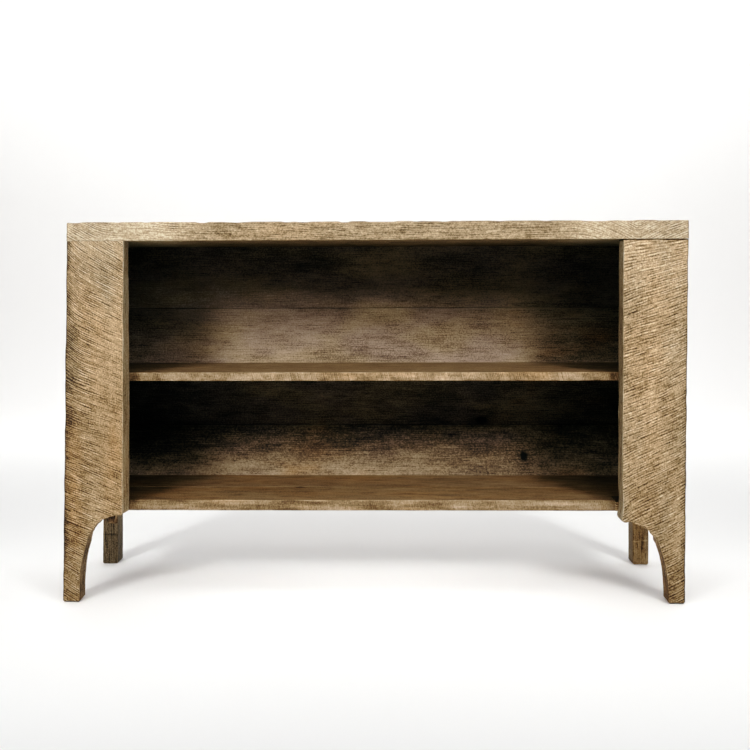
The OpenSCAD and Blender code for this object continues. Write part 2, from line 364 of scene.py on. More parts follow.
def worn_edges(plank, q, seed, edge, edge_scale):
    """How far the points move where the edges are worn, and how worn each is from 0 to 1."""
    nibble = rough(seed + 77, 3, *(q / 0.028).T)
    size = edge * MM * np.clip(0.75 + 0.85 * nibble, 0.18, 2.2)
    move = np.zeros_like(q)
    arris = np.zeros(len(q))
    for one, other in itertools.combinations(range(6), 2):
        if one // 2 == other // 2:
            continue
        cut_size = size * edge_scale[one] * edge_scale[other]
        cut = np.maximum(cut_size - plank.depth[one] - plank.depth[other], 0)
        move += (plank.inward[one] + plank.inward[other]) * (cut / 2)[:, None]
        arris = np.maximum(arris, cut / (1.6 * MM))
    return move, np.clip(arris, 0, 1)


def plain_marks(grain):
    """Marks straight along the grain on the front and rear faces."""
    return lambda p: (p[:, grain], p[:, 0 if grain == ALONG_Z else 2])


def saw_cuts(plank, offset, seed, grain, marks, relief, spacing, sawn):
    """How far the saw cuts move the points, with each point's place in the strokes and its depth."""
    p = plank.points
    nearest = np.argmin(np.stack(plank.depth), 0)
    move = np.zeros_like(p)
    stroke = np.zeros_like(p)
    depth_of_cut = np.zeros(len(p))
    for face in range(6):
        on = nearest == face
        if not on.any():
            continue
        axis = face // 2
        if axis == 1:
            along, across = marks(p[on])
        elif axis == grain:
            along = p[on, (grain + 1) % 3] * 6
            across = p[on, (grain + 2) % 3] + 0.02 * along
        else:
            along = p[on, grain]
            across = p[on, 3 - axis - grain] + 0.02 * along
        row, cuts = streaks(seed + face, along + offset[0], across + offset[1], spacing * MM)
        stroke[on] = np.stack([along + offset[0], row, np.full(on.sum(), offset[2] + face)], 1)
        depth_of_cut[on] = cuts
        on_face = on & (plank.depth[face] < 1e-6)
        level = depth_of_cut[on_face] * relief[face] * MM * sawn[on_face]
        move[on_face] += plank.inward[face][on_face] * level[:, None]
    return move, stroke, depth_of_cut


def build(node, slot, material, plank, seed, tint, grain=ALONG_X, marks=None, relief=(0.3,) * 6,
          wave=(0.6,) * 6, wave_length=0.11, edge=1.6, edge_scale=(1,) * 6, spacing=6.0, swell=None,
          sawn=None):
    """Hews, saws and colours one plank, and puts it in place of its CAD node.

    Relief, wave and edge_scale have a value for each face. Relief, wave, edge and spacing are in
    millimetres. Tint, marks, swell and sawn are functions of the plank's points.
    """
    p = plank.points
    offset = np.array([hashed(seed, np.array([k]))[0] for k in range(3)]) * 7
    q = p + offset
    amount_sawn = sawn(p) if sawn else np.ones(len(p))
    worn, arris = worn_edges(plank, q, seed, edge, edge_scale)
    cut, stroke, depth_of_cut = saw_cuts(
        plank, offset, seed, grain, marks or plain_marks(grain), relief, spacing, amount_sawn
    )
    move = wavy_faces(plank, q, seed, wave, wave_length) + worn + cut
    if swell:
        move += swell(p, plank)
    tone, hue = tint(p, plank)
    attributes = {
        "stroke": stroke,
        "grain": q[:, [grain, (grain + 1) % 3, (grain + 2) % 3]],
        "cut": depth_of_cut,
        "arris": arris,
        "tone": tone + np.zeros(len(p)),
        "hue": hue + np.zeros(len(p)),
        "sawn": amount_sawn,
    }
    piece = mesh_object(node + "_sawn", p + move, plank.faces, attributes, material)
    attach(piece, "root")
    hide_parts(node)


# ---------------------------------------------------------------- materials


def srgb(red, green, blue):
    """A colour given as 0 to 255 in sRGB, as Blender's linear colour."""
    parts = [c / 255 for c in (red, green, blue)]
    return tuple([c / 12.92 if c < 0.04045 else ((c + 0.055) / 1.055) ** 2.4 for c in parts] + [1.0])


class Shader:
    """A node material: each call adds a node and returns its output."""

    def __init__(self, name):
        self.material = bpy.data.materials.new(name)
        self.material.use_nodes = True
        self.tree = self.material.node_tree
        self.surface = self.tree.nodes["Principled BSDF"]

    def node(self, kind, inputs, output=0, **settings):
        """A new node with its inputs fed and its settings set."""
        made = self.tree.nodes.new("ShaderNode" + kind)
        for key, value in settings.items():
            setattr(made, key, value)
        for key, value in inputs.items():
            self.feed(made.inputs[key], value)
        return made.outputs[output]

    def feed(self, socket, value):
        """Links an output to the socket, or sets the socket to a constant."""
        if isinstance(value, bpy.types.NodeSocket):
            self.tree.links.new(value, socket)
        else:
            socket.default_value = value

    def attribute(self, name, output="Fac"):
        """A point attribute of the mesh."""
        return self.node("Attribute", {}, output, attribute_name=name)

    def math(self, operation, a, b=0.0):
        """One operation on one or two numbers."""
        return self.node("Math", {0: a, 1: b}, operation=operation)

    def total(self, start, *terms):
        """start plus each value times its weight."""
        for value, weight in terms:
            start = self.node("Math", {0: value, 1: weight, 2: start}, operation="MULTIPLY_ADD")
        return start

    def noise(self, vector, stretch, detail, roughness):
        """Noise from -0.5 to 0.5, with stretch cycles per metre along each axis."""
        scaled = self.node("VectorMath", {0: vector, 1: stretch}, operation="MULTIPLY")
        inputs = {"Vector": scaled, "Scale": 1.0, "Detail": detail, "Roughness": roughness}
        return self.math("SUBTRACT", self.node("TexNoise", inputs, "Fac"), 0.5)

    def step(self, value, low, high):
        """0 at low, 1 at high, and smooth between."""
        inputs = {0: value, 1: low, 2: high, 3: 0.0, 4: 1.0}
        return self.node("MapRange", inputs, interpolation_type="SMOOTHSTEP", clamp=True)

    def tinge(self, amount, colour, filter_colour):
        """The colour, seen through that amount of a filter."""
        inputs = {0: amount, 6: colour, 7: filter_colour}
        return self.node("Mix", inputs, 2, data_type="RGBA", blend_type="MULTIPLY")

    def ramp(self, value, stops):
        """A colour from stops, each a place from 0 to 1 and a colour."""
        made = self.tree.nodes.new("ShaderNodeValToRGB")
        self.feed(made.inputs[0], value)
        elements = made.color_ramp.elements
        while len(elements) < len(stops):
            elements.new(0.5)
        for element, (place, colour) in zip(elements, stops):
            element.position = place
            element.color = colour
        return made.outputs[0]

    def finish(self, colour, roughness, height, strength, distance):
        """Feeds the surface and returns the material."""
        bump = self.node("Bump", {"Strength": strength, "Distance": distance, "Height": height})
        self.feed(self.surface.inputs["Base Color"], colour)
        self.feed(self.surface.inputs["Roughness"], roughness)
        self.feed(self.surface.inputs["Normal"], bump)
        return self.material


def wood(name, stops, warm, grey, sawn=1.0, fibre=1.0, blotch=1.0, cut=1.0, speck=0.3):
    """Weathered wood: stops run from dark to pale, with painted shade in the saw marks' grooves and cuts
    and painted highlight on their ridges.

    The mesh's tone makes it darker below 0 and paler above, and its hue greyer below 0 and warmer above.
    """
    s = Shader(name)
    stroke, grain = s.attribute("stroke", "Vector"), s.attribute("grain", "Vector")
    cuts, arris = s.attribute("cut"), s.attribute("arris")
    tone, hue, marked = s.attribute("tone"), s.attribute("hue"), s.attribute("sawn")
    rows = s.node("SeparateXYZ", {0: stroke}, 1)
    stain = s.noise(grain, (3.2, 8.0, 8.0), 5.0, 0.6)
    patch = s.noise(grain, (11.0, 34.0, 34.0), 4.0, 0.6)
    warmer = s.noise(grain, (4.0, 13.0, 13.0), 3.0, 0.5)
    kerf = s.math("MULTIPLY", s.noise(stroke, (30.0, 1.4, 1.0), 3.0, 0.6), marked)
    scratch = s.noise(stroke, (60.0, 3.4, 1.0), 2.0, 0.6)
    broken = s.step(s.noise(stroke, (34.0, 1.0, 1.0), 2.0, 0.5), -0.10, 0.14)
    broken = s.math("MULTIPLY", broken, marked)
    # Grooves and ridges of the saw-mark rows: painted shade and painted highlight in the colour, and
    # dips in the bump.
    beat = s.math("COSINE", s.math("MULTIPLY", rows, 2 * math.pi))
    groove = s.math("MULTIPLY", s.step(beat, 0.30, 1.0), broken)
    ridge = s.math("MULTIPLY", s.step(beat, -0.2, -1.0), broken)
    fibres = s.noise(grain, (16.0, 420.0, 420.0), 3.0, 0.65)
    specks = s.noise(grain, (240.0, 300.0, 300.0), 2.0, 0.6)

    # The mesh's tone brings stains, and on some planks painted shade and painted light.
    level = s.total(0.5, (tone, 1.0), (stain, 0.40 * blotch), (patch, 0.30 * blotch))
    level = s.total(level, (kerf, 0.85 * sawn), (scratch, 0.50 * sawn))
    level = s.total(level, (fibres, 0.40 * fibre), (specks, 1.6 * speck))
    # Painted shade in the grooves and painted highlight on the ridges.
    level = s.total(level, (groove, -0.44 * sawn), (ridge, 0.22 * sawn))
    # Painted shade deeper in the saw cuts; paler worn arrises.
    level = s.total(level, (s.math("SUBTRACT", cuts, 0.30), -0.45 * cut), (arris, 0.25))
    warmth = s.total(0.0, (warmer, 2.2), (hue, 1.0))
    colour = s.ramp(level, stops)
    colour = s.tinge(s.step(warmth, 0.0, 0.9), colour, warm)
    colour = s.tinge(s.step(warmth, 0.0, -0.9), colour, grey)

    dullness = s.total(0.72, (fibres, 0.30), (cuts, 0.12), (stain, 0.15))
    height = s.total(0.0, (kerf, 0.7 * sawn), (scratch, 0.5 * sawn))
    height = s.total(height, (fibres, 0.4 * fibre), (specks, 1.2 * speck))
    height = s.total(height, (groove, -0.7 * sawn), (ridge, 0.3 * sawn))
    s.surface.inputs["Specular IOR Level"].default_value = 0.25
    return s.finish(colour, dullness, height, 0.55, 0.8 * MM)


front_wood = wood(
    "rough_front_wood",
    [(0.0, srgb(46, 34, 21)), (0.28, srgb(96, 76, 51)), (0.52, srgb(142, 118, 86)),
     (0.78, srgb(172, 149, 115)), (1.0, srgb(204, 186, 156))],
    warm=srgb(255, 236, 214), grey=srgb(232, 240, 248), fibre=0.5, speck=0.70)
side_wood = wood(
    "rough_side_wood",
    [(0.0, srgb(46, 33, 21)), (0.30, srgb(98, 77, 54)), (0.55, srgb(136, 112, 83)),
     (0.80, srgb(162, 139, 109)), (1.0, srgb(188, 168, 140))],
    warm=srgb(255, 236, 214), grey=srgb(232, 238, 244))
shelf_wood = wood(
    "brown_shelf_wood",
    [(0.0, srgb(44, 29, 15)), (0.30, srgb(92, 68, 40)), (0.55, srgb(136, 108, 74)),
     (0.80, srgb(166, 140, 107)), (1.0, srgb(194, 170, 140))],
    warm=srgb(255, 232, 206), grey=srgb(226, 238, 255), sawn=0.5, fibre=1.2, cut=0.5, speck=0.4)
back_wood = wood(
    "dark_back_wood",
    [(0.0, srgb(29, 23, 16)), (0.30, srgb(81, 67, 50)), (0.55, srgb(127, 110, 87)),
     (0.80, srgb(153, 136, 111)), (1.0, srgb(181, 166, 141))],
    warm=srgb(255, 233, 208), grey=srgb(237, 236, 252), sawn=0.22, fibre=0.9, cut=0.4, blotch=1.5,
    speck=0.5)
# The posts' darker stops are painted shade: they stand in shade behind the front boards.
post_wood = wood(
    "dark_post_wood",
    [(0.0, srgb(34, 26, 17)), (0.30, srgb(78, 65, 48)), (0.55, srgb(112, 97, 74)),
     (0.80, srgb(138, 122, 97)), (1.0, srgb(160, 145, 120))],
    warm=srgb(255, 238, 214), grey=srgb(232, 238, 244), sawn=0.6, speck=0.6)


def dowel_material():
    """Bare hardwood, for the solids that only show at their ends."""
    s = Shader("bare_dowel_wood")
    place = s.node("TexCoord", {}, "Object")
    grain = s.noise(place, (60.0, 60.0, 420.0), 3.0, 0.6)
    fleck = s.noise(place, (600.0, 600.0, 600.0), 2.0, 0.5)
    level = s.total(0.5, (grain, 0.9), (fleck, 0.5))
    stops = [(0.0, srgb(150, 118, 78)), (0.5, srgb(196, 166, 122)), (1.0, srgb(220, 196, 156))]
    return s.finish(s.ramp(level, stops), s.total(0.6, (grain, 0.3)), level, 0.4, 0.4 * MM)


def steel_material():
    """Zinc-plated steel with fine turning marks and dull patches."""
    s = Shader("zinc_screw_steel")
    place = s.node("TexCoord", {}, "Object")
    scuff = s.noise(place, (900.0, 900.0, 900.0), 3.0, 0.6)
    cloud = s.noise(place, (180.0, 180.0, 180.0), 2.0, 0.5)
    level = s.total(0.5, (scuff, 0.8), (cloud, 0.6))
    stops = [(0.0, srgb(120, 118, 112)), (0.5, srgb(166, 165, 160)), (1.0, srgb(198, 198, 196))]
    s.surface.inputs["Metallic"].default_value = 0.9
    return s.finish(s.ramp(level, stops), s.total(0.38, (cloud, 0.35)), scuff, 0.3, 0.1 * MM)


# ---------------------------------------------------------------- stains and tones, with painted shade and light


def front_part(plank):
    """1 on the front face, falling to 0 a few millimetres behind it."""
    return ease(1.2 - plank.depth[FRONT] / (9 * MM))


def outline(plank, *depths):
    """1 on the last few millimetres before an outer edge, where the rounded edge is darkened as painted
    shade.
    """
    return ease(1 - np.min(np.stack(depths), 0) / (4.4 * MM)) * front_part(plank)


def arch_faces(p, face_depth, arch_top):
    """Which points of a leg board's inner edge lie on the arch, and which lie above it."""
    edge = face_depth < 1 * MM
    arch_end = arch_top + 3 * MM
    return edge & (p[:, 2] < arch_end), edge & (p[:, 2] >= arch_end)


def left_leg_tint(p, plank):
    """Dark along the outer edge, with painted shade on its last millimetres, and on the arch; paler, as
    painted light, and grey on the inner edge above it.
    """
    outer, z = plank.depth[LOW_X], p[:, 2]
    uneven = rough(501, 3, p[:, 0] / 0.035, z / 0.05)
    belt = 0.016 + 0.028 * near(z, 0.56, 0.30)
    dirt = ease(0.9 - outer / belt + 0.8 * uneven) * ease((z - 0.05) / 0.1) * front_part(plank)
    # rim: painted shade on the rounded outer edge.
    rim = outline(plank, outer, plank.depth[LOW_Z])
    on_arch, inside = arch_faces(p, plank.depth[HIGH_X], LEFT_ARCH_TOP)
    tone = -0.27 * dirt - 0.42 * rim - 0.05 * ease((0.58 - z) / 0.1)
    tone += 0.10 * ease((z - 0.82) / 0.06) + 0.04 * ease((z - 0.66) / 0.1)
    # The inner edge above the arch is paler as painted light; the arch is darker.
    tone += 0.20 * inside - 0.16 * on_arch * (0.7 + 0.6 * noise(502, z / 0.03, p[:, 1] / 0.03))
    hue = 0.15 - 0.65 * ease((z - 0.66) / 0.15)
    return tone, hue - 0.5 * dirt - 1.0 * rim - 0.2 * on_arch - 0.7 * inside


def right_leg_tint(p, plank):
    """Paler at the top, and darker along the outer edge, with painted shade on its last millimetres, at
    the joint with the top and on the arch; paler, as painted light, on the inner edge above it.
    """
    outer, z = plank.depth[HIGH_X], p[:, 2]
    uneven = rough(511, 3, p[:, 0] / 0.035, z / 0.05)
    dirt = ease(0.8 - outer / 0.016 + 0.7 * uneven) * ease((0.78 - z) / 0.2) * front_part(plank)
    # rim: painted shade on the rounded outer edge.
    rim = outline(plank, outer, plank.depth[LOW_Z])
    joint = ease(1 - plank.depth[HIGH_Z] / (3.4 * MM))
    foot = ease(1.3 - z / 0.14)
    on_arch, inside = arch_faces(p, plank.depth[LOW_X], RIGHT_ARCH_TOP)
    tone = -0.20 * dirt - 0.42 * rim - 1.05 * joint
    tone += 0.14 * ease((z - 0.72) / 0.15) - 0.15 * foot
    # The inner edge above the arch is paler as painted light; the arch is darker.
    tone += 0.12 * inside - 0.12 * on_arch * (0.7 + 0.6 * noise(512, z / 0.03, p[:, 1] / 0.03))
    return tone, -0.25 - 0.5 * dirt - 1.0 * rim + 0.6 * on_arch + 0.2 * foot - 0.6 * inside


def left_leg_sawn(p):
    """The inner half of the board is smoother below its top, and the outer half is rougher."""
    x, z = p[:, 0], p[:, 2]
    inner = ease((x + 0.705) / 0.035) * ease((0.76 - z) / 0.15)
    low = ease((0.40 - z) / 0.1)
    smoother = 0.65 * inner * (1 - 0.7 * low)
    rougher = (0.35 * near(z, 0.56, 0.2) + 0.3 * low) * (1 - inner)
    return 1 - smoother + rougher


def top_sawn(p):
    """Smoother between the two ends, with a few rough stretches."""
    ends = ease((np.abs(p[:, 0]) - 0.62) / 0.08)
    return ends + (1 - ends) * (0.42 + 0.4 * np.maximum(noise(541, p[:, 0] / 0.08, p[:, 2] / 0.03), 0))


def shelf_sawn(p):
    """The middle shelf's edge is rougher than the bottom shelf's."""
    return np.where(p[:, 2] > BETWEEN_SHELVES, 0.7, 0.3)


def top_tint(p, plank):
    """Paler, greyer ends, a dark rim at the ends and a dark line along the upper front arris, both
    painted shade, and a dull underside darkened as painted shade.
    """
    ends = ease((np.abs(p[:, 0]) - 0.42) / 0.12)
    # rim: painted shade on the rounded edges at the ends.
    rim = outline(plank, plank.depth[LOW_X], plank.depth[HIGH_X])
    # upper: painted shade along the upper front arris.
    upper = ease(1 - plank.depth[HIGH_Z] / (2.6 * MM)) * (plank.depth[FRONT] < 6 * MM)
    # under: painted shade on the underside.
    under = (plank.depth[LOW_Z] < 0.5 * MM) & (plank.depth[FRONT] > 2 * MM)
    tone = 0.25 * ends - 0.02 * (1 - ends) - 0.45 * rim - 0.24 * upper - 0.04 * under
    return tone, -0.85 - 0.10 * ends - 0.4 * rim - 0.4 * upper - 0.6 * under


def shelf_tint(p, plank):
    """The front edge is paler and stained; it and the rest are darker at the ends and underneath, as
    painted shade.
    """
    x = p[:, 0]
    front = ease(1 - plank.depth[FRONT] / (3 * MM)) * (plank.low[1] < 0)
    rest = 1 - front
    # Painted shade towards both ends, where the front boards shade the shelf.
    ends = ease((np.abs(x) - 0.47) / 0.14)
    # Painted shade on the underside.
    under = plank.depth[LOW_Z] < 0.5 * MM
    tone = front * (0.03 - 0.12 * ends) - rest * (0.08 + 0.08 * ends + 0.1 * under)
    if plank.high[2] > BETWEEN_SHELVES:
        stains = 0.22 * rough(542, 3, x / 0.018, p[:, 2] / 0.012) + 0.03
        return tone + front * stains, front * (stains - 0.80) - rest
    stains = 0.30 * rough(541, 3, x / 0.07, p[:, 2] / 0.009)
    dull = 0.04 + 0.10 * near(x, 0.09, 0.2) + 0.09 * near(x, -0.21, 0.16)
    dull -= 0.08 * ease((x - 0.25) / 0.1)
    knot = np.hypot((x + 0.201) / 0.016, (p[:, 1] - 0.0155) / 0.012)
    tone += front * (stains - dull) - rest * 0.05 - 0.45 * ease(1.2 - knot)
    return tone, front * (stains - 0.90) - rest * 0.6


def block_tint(p, plank):
    """Its top is as dark as the shelf's."""
    top = plank.depth[HIGH_Z] < 3 * MM
    return -0.12 - 0.42 * top, 0.5


def back_tint(p, plank):
    """Large dull and reddish patches and two knots; painted shade at the ends, up the lowest board, on
    the second and under the top, and painted light across the upper boards, more on the left.
    """
    x, z = p[:, 0], p[:, 2]
    low_joint, high_joint = (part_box(f"back_board_{i}")[1].z - LAP for i in (1, 2))
    left = ease((-0.08 - x) / 0.15)
    # Painted shade towards both ends, where the front boards shade the back.
    tone = 0.10 * rough(531, 3, x / 0.22, z / 0.12) - 0.10 * ease((np.abs(x + 0.02) - 0.44) / 0.20)
    # Painted shade on the second board, under the middle shelf.
    tone -= 0.07 * ease((z - low_joint) / 0.01) * ease((high_joint - z) / 0.01)
    # Painted shade up the lowest board, in the middle shelf's shadow.
    tone -= 0.17 * ease((z - 0.255) / 0.08) * ease((0.40 - z) / 0.02)
    # Painted light: paler bands across the upper boards, more on the left.
    tone += near(z, 0.755, 0.09) * (0.13 + 0.16 * left) + 0.11 * left * near(z, 0.66, 0.10)
    # Painted light at the left end and painted shade just above the middle shelf.
    tone += 0.08 * ease((-0.36 - x) / 0.08) * near(z, 0.60, 0.08) - 0.04 * near(z, 0.60, 0.06)
    # Painted shade under the top, more on the left.
    tone -= (0.03 + 0.05 * left) * ease((z - 0.80) / 0.05)
    for knot_x, knot_z, wide, tall in ((0.299, 0.398, 0.015, 0.009), (0.418, 0.296, 0.010, 0.013)):
        away = np.hypot((x - knot_x) / wide, (z - knot_z) / tall)
        tone -= 0.60 * ease(1.3 - away) + 0.12 * ease(1 - away / 4)
    patches = 0.9 * rough(532, 3, x / 0.16, z / 0.07)
    return tone, patches - 0.5 + np.where(z < low_joint, 0.3, 0.5 * ease((x - 0.25) / 0.2))


def left_post_tint(p, plank):
    """Level cuts near the foot."""
    x, z = p[:, 0], p[:, 2]
    height = z + 0.05 * (x - plank.low[0])
    cuts = sum(
        near(height, cut_z, wide * MM)
        for cut_z, wide in ((0.060, 3), (0.083, 4), (0.124, 3), (0.150, 5))
    )
    cuts = cuts * (plank.depth[FRONT] < 2 * MM) * ease(0.7 + 1.5 * noise(515, x / 0.02, z / 0.02))
    # The outer face is paler, taking back part of the posts' painted shade.
    outer = plank.depth[LOW_X] < 1 * MM
    return 0.16 * outer - 0.10 * ease(1 - z / 0.12) - 0.30 * cuts, 0.4 * outer - 0.6


def right_post_tint(p, plank):
    """Browner than the other, with one pale crack near the foot."""
    crack = near(p[:, 2], 0.066 + 0.1 * (p[:, 0] - 0.73), 2.5 * MM) * (plank.depth[FRONT] < 2 * MM)
    # The outer face is paler, taking back part of the posts' painted shade.
    outer = plank.depth[HIGH_X] < 1 * MM
    patch = 0.22 * ease(1.6 * rough(514, 2, p[:, 0] / 0.02, p[:, 2] / 0.03))
    return 0.08 + 0.10 * outer - patch + 0.4 * crack, 0.5 - 0.4 * outer


def side_tint(p, plank):
    """The face towards the inside and the lower edge are darkened as painted shade."""
    # Painted shade on the inside face and on the lower edge.
    inside = plank.depth[HIGH_X if plank.high[0] < 0 else LOW_X] < 1 * MM
    below = plank.depth[LOW_Z] < 1 * MM
    return -0.36 * inside - 0.30 * below, -0.8 * inside - 0.5 * below


def cleat_tint(p, plank):
    """As dark as the inside of the sides: painted shade."""
    return -0.34, -0.7


# ---------------------------------------------------------------- the cabinet


def every(front, rear, sides, low, high):
    """Six values in the order of the faces."""
    return (sides, sides, front, rear, low, high)


def box_notch(low, high):
    """A box that is cut out of a plank."""
    return (Vector(low), Vector(high))


def along_x(amount):
    """Moves along X by these amounts."""
    return np.stack([amount, 0 * amount, 0 * amount], 1)


def top_swell(p, plank):
    """A chip out of the upper front arris, and smaller dips along it."""
    x = p[:, 0]
    dip = 1.8 * near(x, -0.07, 0.022) + 0.9 * near(x, 0.31, 0.03) + 0.9 * near(x, -0.42, 0.025)
    dip += 1.6 * ease(0.1 + 1.6 * rough(543, 2, x / 0.035, p[:, 1] / 0.2))
    amount = dip * MM * ease(1 - plank.depth[HIGH_Z] / 0.012) * ease(1 - plank.depth[FRONT] / 0.05)
    return plank.inward[HIGH_Z] * amount[:, None]


def build_top():
    """Three planks edge to edge, with the finest grid on the front one, which shows most."""
    for i, place in enumerate(("front", "middle", "back")):
        first, last = i == 0, i == 2
        steps = (2.4 * MM, 4.5 * MM, 2.4 * MM) if first else (5 * MM, 4.5 * MM, 4 * MM)
        plank = Plank(f"top_plank_{place}", steps, 7 * MM)
        build(f"top_plank_{place}", "weathered_front_wood", front_wood, plank, 100 + 10 * i, top_tint,
              marks=top_edge_marks, relief=every(1.1, 0.4, 0.9, 0.2, 0.6),
              wave=(1.2, 1.2, 1.2 if first else 0.3, 0.3, 0.2, 2.2), wave_length=0.10, edge=2.6,
              edge_scale=(1, 1, 1, 1 if last else 0.4, 0.35, 1), spacing=5.6,
              swell=top_swell if first else None, sawn=top_sawn)


def chiselled(p, plank, inner, top_z, seed):
    """Chisel cuts across the upper part of an arch."""
    high = ease((p[:, 2] - top_z + 0.075) / 0.03) * (p[:, 2] < top_z + 3 * MM)
    cuts = ease(0.5 + 1.2 * rough(seed, 2, p[:, 0] / 0.013, p[:, 1] / 0.04, p[:, 2] / 0.013))
    amount = 4.6 * MM * high * cuts * ease(1 - plank.depth[inner] / 0.014)
    return plank.inward[inner] * amount[:, None]


def left_leg_swell(p, plank):
    """The inner face swells towards the opening at the back of the board, below its top."""
    behind = ease((p[:, 1] - plank.low[1]) / LEG_THICKNESS)
    amount = 4 * MM * ease((0.86 - p[:, 2]) / 0.45) * ease((p[:, 2] - 0.20) / 0.02)
    amount = amount * behind * ease(1 - plank.depth[HIGH_X] / 0.04)
    return along_x(amount) + chiselled(p, plank, HIGH_X, LEFT_ARCH_TOP, 521)


def right_leg_swell(p, plank):
    """The inner edge is cut back below the shelf, and a little fuller than its plan on the arch."""
    z = p[:, 2]
    notch_z = 0.196
    amount = 4.5 * MM * near(z, 0.22, 0.07) * (z > notch_z) - 3.5 * MM * ease((notch_z - z) / 0.02)
    amount = amount * ease(1 - plank.depth[LOW_X] / 0.03)
    return along_x(amount) + 0.8 * chiselled(p, plank, LOW_X, RIGHT_ARCH_TOP, 523)


def build_leg_boards():
    """The two wide front boards, whose lower inner corners are cut away in an arch."""
    looks = {
        "leg_board_left": dict(
            seed=180, marks=left_board_marks, tint=left_leg_tint, swell=left_leg_swell, spacing=5.6,
            wave=(2.6, 2.0, 0.8, 0.4, 1.2, 0.1), edge_scale=(1, 1, 1, 1, 2.0, 0.2), sawn=left_leg_sawn,
        ),
        "leg_board_right": dict(
            seed=220, marks=right_board_marks, tint=right_leg_tint, swell=right_leg_swell, spacing=6.4,
            wave=(2.0, 3.4, 0.8, 0.4, 1.2, 1.4), edge_scale=(1, 1, 1, 1, 2.0, 0.45),
        ),
    }
    for side, (node, look) in zip((-1, 1), looks.items()):
        ruled = (0, 2, *leg_curves(node, side))
        plank = Plank(node, (2.2 * MM, 4 * MM, 2.1 * MM), 6 * MM, ruled=ruled)
        build(node, "weathered_front_wood", front_wood, plank, grain=ALONG_Z, edge=2.6,
              relief=(0.8, 0.8, 1.2, 0.5, 0.4, 0.1), wave_length=0.04, **look)


def left_post_swell(p, plank):
    """Pulls the outer face in towards the top, because the post leans."""
    outer = np.clip(1 - plank.depth[LOW_X] / 0.026, 0, 1)
    return along_x(12 * MM * p[:, 2] / TOP_UNDERSIDE * outer)


def right_post_swell(p, plank):
    """Pulls the outer face in towards the floor, because this post leans the same way."""
    outer = np.clip(1 - plank.depth[HIGH_X] / 0.026, 0, 1)
    return along_x(-11 * MM * (1 - p[:, 2] / TOP_UNDERSIDE) * outer)


def build_posts():
    """Square rear posts, rebated at the back for the ends of the back boards."""
    left_rebate = box_notch((board_low.x, board_low.y, board_low.z), (FAR, FAR, FAR))
    right_rebate = box_notch((-FAR, board_low.y, board_low.z), (board_high.x, FAR, FAR))
    for node, rebate, tint, swell in (
        ("rear_post_left", left_rebate, left_post_tint, left_post_swell),
        ("rear_post_right", right_rebate, right_post_tint, right_post_swell),
    ):
        plank = Plank(node, (4 * MM, 4 * MM, 3 * MM), 5 * MM, [rebate])
        build(node, "dark_post_wood", post_wood, plank, 300 + len(node), tint, grain=ALONG_Z,
              marks=upright_marks, relief=(0.8, 0.8, 0.9, 0.5, 0.3, 0.1),
              wave=(1.6, 1.6, 1.2, 0.4, 0.6, 0.1), edge=2.6, edge_scale=(1, 1, 1, 1, 1.6, 0.3),
              swell=swell)


def build_sides():
    """Three upright planks on each side, whose lower edges arch from foot to foot."""
    for side, name in ((-1, "left"), (1, "right")):
        for i, place in enumerate(("front", "middle", "back")):
            node = f"side_plank_{name}_{place}"
            ruled = (2, 1, *side_curves(node, side))
            plank = Plank(node, (4 * MM, 4 * MM, 4 * MM), 5 * MM, ruled=ruled)
            build(node, "weathered_side_wood", side_wood, plank, 400 + 13 * i + 5 * side, side_tint,
                  grain=ALONG_Z, relief=(0.7, 0.7, 0.4, 0.4, 0.5, 0.1),
                  wave=(1.0, 1.0, 0.3, 0.3, 1.0, 0.1), edge_scale=(1, 1, 1, 1, 1, 0.3))


def build_shelves():
    """A front and a back plank for each shelf, and the block let into the bottom shelf."""
    block = "bottom_shelf_end_block"
    block_low, block_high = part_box(block)
    post_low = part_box("rear_post_right")[0]
    post_notch = box_notch((post_low.x, post_low.y, 0), (FAR, FAR, FAR))
    block_notch = box_notch((block_low.x, -FAR, 0), (FAR, block_high.y, FAR))
    for node, notches, step in (
        ("middle_shelf_front", [], 2.6 * MM),
        ("middle_shelf_back", [post_notch], 5 * MM),
        ("bottom_shelf_front", [block_notch], 2.6 * MM),
        ("bottom_shelf_back", [post_notch], 5 * MM),
    ):
        plank = Plank(node, (step, 5 * MM, 2.4 * MM), 4 * MM, notches)
        build(node, "brown_shelf_wood", shelf_wood, plank, 500 + len(node) * 3, shelf_tint,
              marks=cross_marks, relief=every(0.6, 0.3, 0.3, 0.3, 0.3),
              wave=(0.2, 0.2, 1.0, 0.4, 1.2, 0.5), wave_length=0.08, spacing=4.6, sawn=shelf_sawn)
    plank = Plank(block, (2.4 * MM, 2.6 * MM, 2.4 * MM), 4 * MM)
    build(block, "weathered_front_wood", front_wood, plank, 560, block_tint,
          relief=every(0.6, 0.3, 0.4, 0.3, 0.3), wave=(0.3, 0.2, 0.8, 0.3, 0.5, 0.4), edge=1.4)


